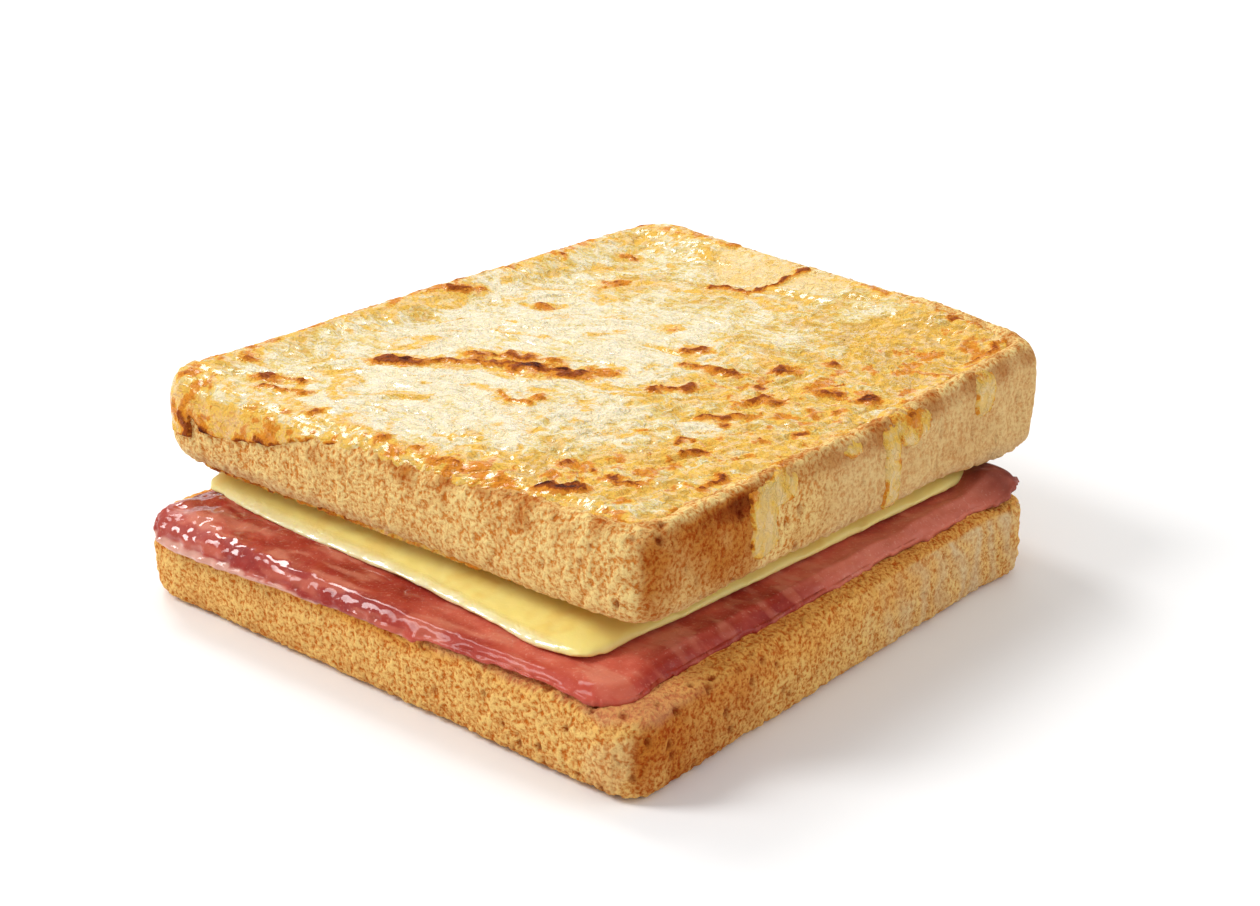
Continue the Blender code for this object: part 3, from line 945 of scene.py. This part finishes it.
# %% The melted surface
def melt_topping(piece):
    put_points(piece.data, square_corners(points_of(piece.data), TOP_CORNERS))
    points = points_of(piece.data)
    normals = normals_of(piece.data)
    spots = points - np.array(HUB)
    x, y, _ = (spots / MM).T
    wide = waves(spots, 13 * MM, 61)
    frayed = waves(spots, 3.0 * MM, 62, 3)
    tight = waves(spots, 1.5 * MM, 63, 2)
    level = ramp(normals[:, 2], 0.35, 0.8)
    inset = inset_from(top_outline, points) / MM
    inside = melted_inside(spots, points) + (0.5 + 0.6 * level) * frayed
    right_share = ramp(x - 0.35 * y + 9 * wide, -6, 22)

    angle = 0.35 + 0.9 * right_share + 0.5 * wide
    across = spots[:, 1] * np.cos(angle) - spots[:, 0] * np.sin(angle)
    along = spots[:, 0] * np.cos(angle) + spots[:, 1] * np.sin(angle)
    combed = np.stack([along * 0.22, across, spots[:, 2] * 0.5], axis=1)
    strand = 1 - 2.2 * np.abs(waves(combed, 1.7 * MM, 64, 2))
    lumps = waves(spots, 3.4 * MM, 65, 2)

    warp = 1.3 * np.stack([waves(spots, 2.6 * MM, seed, 2) for seed in (71, 72, 73)], axis=1)
    heat = all_marks(spots, 0.75 * frayed + 0.55 * tight, warp)
    crust = ramp(heat, 0.35, 0.8)
    heat = heat * (0.86 + 0.42 * tight)
    busy = ramp(waves(spots, 13 * MM, 67) + 0.9 * right_share + 0.5 * ramp(inset, 14, 4), 0.25, 1.0)
    distance, number = cells(spots + 1.5 * warp * MM, 6.5 * MM, 74)
    scattered = ramp(distance, 0.40 * number, 0.04 * number) * (number > 0.5) * (0.40 + 0.4 * number)
    patches = waves(combed * (1.6, 0.8, 0.8), 3.0 * MM, 76, 3) + 0.15 * tight
    golden = patches + 0.16 * right_share + 0.2 * ramp(inset, 14, 3)
    gold = (0.11 + 0.11 * right_share) * ramp(golden, 0.18, 0.34)
    gold += 0.14 * ramp(patches, 0.40, 0.48)
    specks = 0.26 * ramp(waves(spots, 2.4 * MM, 66, 2), 0.12, 0.5) * busy
    back_edge = np.maximum(ramp(x, -34, -48), ramp(y, 50, 60))
    edge_gold = (0.12 + 0.24 * back_edge) * ramp(inset + 2 * frayed, 8.0, 3.0) * ramp(frayed, -0.5, 0.3)
    outlined = np.exp(-(((inside - 0.35) / 0.5) ** 2)) * (1 - level) * ramp(tight, -0.5, 0.3)
    heat = np.maximum(heat, scattered * busy * level)
    blistered = ramp(y, -36, -40) * ramp(x, 0, -14) * (1 - level)
    heat = np.maximum(heat, blistered * (0.16 + 0.34 * ramp(waves(spots, 2.6 * MM, 75, 2), -0.1, 0.5)))
    toasted = ramp(waves(spots, 3.4 * MM, 77, 3) + 0.2 * right_share + 0.3 * tight, 0.26, 0.62)
    milky = ramp(from_segment(spots, (4, -26), (22, -8)) / MM + 3 * frayed, 15, 7)
    toasted = 0.42 * toasted * np.maximum(right_share, 0.8 * ramp(inset, 9, 3)) * (1 - 0.8 * milky)
    gold = gold * (1 - 0.7 * milky)
    heat = np.maximum(heat, np.maximum(specks, toasted * level))
    heat = np.maximum(heat, np.minimum(gold, 0.24) * level)
    heat = heat + edge_gold * level * (1 - crust) + 0.46 * outlined
    bare = ramp(from_segment(spots, (-14, 62), (4, 66)) / MM + 2 * frayed, 9.5, 7.0) * ramp(inset, 0.5, 2)
    heat = heat * (1 - 0.5 * bare * (1 - crust))

    body = 0.55 + 0.30 * wide + (0.24 + 0.10 * right_share) * strand + (0.16 + 0.26 * right_share) * lumps
    relief = body * level * (1 - 0.8 * bare) * (0.3 + 0.7 * ramp(inside, 0.0, 4.0))
    over_side = (0.42 + 0.2 * lumps) * (1 - level)
    body = relief + over_side + 0.45 * crust * (1 + 0.8 * tight)
    body += 0.30 * outlined
    thickness = -SUNK + (SUNK + np.maximum(body, 0.12)) * ramp(inside, -0.4, 0.7)
    points = points + normals * (MM * thickness)[:, None]
    underneath = ramp(-normals[:, 2], 0.5, 0.9) * ramp(inset, 2.5, 4.5)
    slice_depth = (top_high.z - top_low.z) / MM - 5.5
    points[:, 2] += MM * slice_depth * underneath
    put_points(piece.data, curl(points, top_outline))

    far_side = np.maximum(ramp(x, -30, -50), ramp(y, 22, 46))
    cream = 0.95 + 0.7 * waves(spots, 6 * MM, 68, 3) - 0.95 * right_share + 0.25 * strand - 0.65 * far_side
    cream += 0.6 * milky
    for place, radius in (((23, 50), 7), ((29, -17), 6), ((8, 30), 8), ((-26, 44), 6), ((18, -36), 8)):
        cream -= 0.55 * ramp(from_segment(spots, place, place) / MM + 2 * frayed, radius, radius * 0.4)
    front_skin = (1 - level) * ramp(y, -36, -40)
    right_skin = (1 - level) * ramp(x, 44, 48)
    values = {"browned": heat, "cream": cream, "bare": bare}
    values.update({"front_skin": front_skin, "right_skin": right_skin})
    for name, stored in values.items():
        paint(piece.data, name, stored)


melt_topping(topping)


# %% The melted cheese's finish
def topping_finish():
    material, tree, shader = new_finish("browned melted cheese")
    grain = effect(tree, food_grain, Coarse_scale=480.0, Fine_scale=1900.0)
    film = effect(tree, grease_film, Scale=620.0)["Height"]
    fine = calc(tree, "SUBTRACT", grain["Fine"], 0.5)
    coarse = calc(tree, "SUBTRACT", grain["Coarse"], 0.5)
    mixed = calc(tree, "ADD", reading(tree, "cream"), calc(tree, "MULTIPLY", fine, 1.6))
    mixed = calc(tree, "ADD", mixed, calc(tree, "MULTIPLY", coarse, 0.7))
    waver = noise_at(tree, 520.0, 2.0, 0.5, 1.2, (0.45, 1, 0.8))
    ridges = fade(tree, calc(tree, "ABSOLUTE", calc(tree, "SUBTRACT", waver, 0.5)), 0.11, 0.0)
    mixed = calc(tree, "ADD", mixed, calc(tree, "MULTIPLY", calc(tree, "SUBTRACT", ridges, 0.45), 0.5))
    surface = tint(tree, fade(tree, mixed, -0.1, 0.35), colour(220, 172, 76), colour(230, 202, 122))
    surface = tint(tree, fade(tree, mixed, 0.35, 0.85), surface, colour(242, 226, 186))
    surface = tint(tree, calc(tree, "MULTIPLY", reading(tree, "bare"), 0.8), surface, colour(246, 210, 138))
    front_share = calc(tree, "MULTIPLY", reading(tree, "front_skin"), 0.8)
    skin = tint(tree, fade(tree, grain["Coarse"], 0.35, 0.65), colour(222, 140, 66), colour(240, 190, 122))
    surface = tint(tree, front_share, surface, skin)
    surface = tint(tree, reading(tree, "right_skin"), surface, colour(236, 196, 118))
    heat = calc(tree, "ADD", reading(tree, "browned"), calc(tree, "MULTIPLY", fine, 0.5))
    surface = effect(tree, browning, Surface=surface, Heat=heat)["Color"]
    plug(tree, surface, shader.inputs["Base Color"])
    plug(tree, fade(tree, film, 1.3, -0.1), shader.inputs["Roughness"])
    wet = calc(tree, "MULTIPLY", fade(tree, film, 0.54, 0.68), fade(tree, heat, 0.6, 0.2))
    plug(tree, wet, shader.inputs["Coat Weight"])
    shader.inputs["Specular IOR Level"].default_value = 0.05
    shader.inputs["Coat Roughness"].default_value = 0.12
    shader.inputs["Subsurface Weight"].default_value = 0.2
    shader.inputs["Subsurface Radius"].default_value = (1.0, 0.65, 0.3)
    shader.inputs["Subsurface Scale"].default_value = 1.2 * MM
    height = calc(tree, "ADD", film, calc(tree, "MULTIPLY", fine, 0.9))
    height = calc(tree, "ADD", height, calc(tree, "MULTIPLY", ridges, 0.4))
    plug(tree, bump(tree, height, 0.45 * MM, 1.0), shader.inputs["Normal"])
    return material


topping.data.materials.append(topping_finish())
print("melted cheese finish:", topping.data.materials[0].name)

# %% [markdown]
# The floor is a wide white sheet. The light is a studio's: a tall soft box from the left makes the left side
# bright and leaves the right side in shade, a small bright box and a large soft one behind give the wet
# surfaces their shine, a weak one fills the right side, and a pale surround fills the shadows.

# %% Floor and light
FLOOR_HALF = 3.0
floor_shape = bmesh.new()
bmesh.ops.create_grid(floor_shape, x_segments=1, y_segments=1, size=FLOOR_HALF)
floor_mesh = bpy.data.meshes.new("floor")
floor_shape.to_mesh(floor_mesh)
floor_shape.free()
floor = bpy.data.objects.new("floor", floor_mesh)
bpy.context.scene.collection.objects.link(floor)

floor_finish, floor_tree, floor_shader = new_finish("pale floor")
floor_noise = noise_at(floor_tree, 3.0, 1.0)
floor_white = tint(floor_tree, floor_noise, (0.95, 0.95, 0.95, 1), (0.97, 0.97, 0.97, 1))
plug(floor_tree, floor_white, floor_shader.inputs["Base Color"])
floor_shader.inputs["Roughness"].default_value = 0.7
floor_shader.inputs["Specular IOR Level"].default_value = 0.1
floor.data.materials.append(floor_finish)


def soft_box(name, azimuth, elevation, distance, size, power):
    """A light that looks at the sandwich. Azimuth 0 is -Y and 90 is +X. size is width and height."""
    turn, rise = math.radians(azimuth), math.radians(elevation)
    way = Vector((math.sin(turn) * math.cos(rise), -math.cos(turn) * math.cos(rise), math.sin(rise)))
    light = bpy.data.lights.new(name, "AREA")
    light.shape = "RECTANGLE"
    light.size, light.size_y = size
    light.energy = power
    holder = bpy.data.objects.new(name, light)
    holder.location = HUB + way * distance
    holder.rotation_euler = way.to_track_quat("Z", "Y").to_euler()
    bpy.context.scene.collection.objects.link(holder)


soft_box("left box", azimuth=-50, elevation=45, distance=1.5, size=(0.4, 0.8), power=12.8)
soft_box("small bright box", azimuth=-112, elevation=48, distance=1.5, size=(0.4, 0.4), power=6.0)
soft_box("back box", azimuth=-140, elevation=30, distance=1.5, size=(1.1, 1.1), power=3.5)
soft_box("right fill", azimuth=120, elevation=35, distance=1.5, size=(1.0, 1.0), power=4.2)

SURROUND_STRENGTH = 0.52
world = bpy.data.worlds.new("pale surround")
world.use_nodes = True
world.node_tree.nodes["Background"].inputs["Color"].default_value = (1.0, 1.0, 1.0, 1.0)
world.node_tree.nodes["Background"].inputs["Strength"].default_value = SURROUND_STRENGTH
bpy.context.scene.world = world
bpy.context.scene.view_settings.view_transform = "Standard"

# %% [markdown]
# The camera looks down at the front corner from a little above, with a lens long enough to keep the sides
# almost straight.

# %% Camera
CAMERA_PLACE = (222.4, -251.1, 163.7)
LOOK_AZIMUTH = 40.36
LOOK_ELEVATION = 22.82
LENS = 62.05
SENSOR_WIDTH = 36.0

turn, rise = math.radians(LOOK_AZIMUTH), math.radians(LOOK_ELEVATION)
back = Vector((math.sin(turn) * math.cos(rise), -math.cos(turn) * math.cos(rise), math.sin(rise)))
lens = bpy.data.cameras.new("camera")
lens.lens = LENS
lens.sensor_width = SENSOR_WIDTH
camera = bpy.data.objects.new("camera", lens)
camera.location = HUB + Vector(CAMERA_PLACE) * MM
camera.rotation_euler = back.to_track_quat("Z", "Y").to_euler()
bpy.context.scene.collection.objects.link(camera)
bpy.context.scene.camera = camera
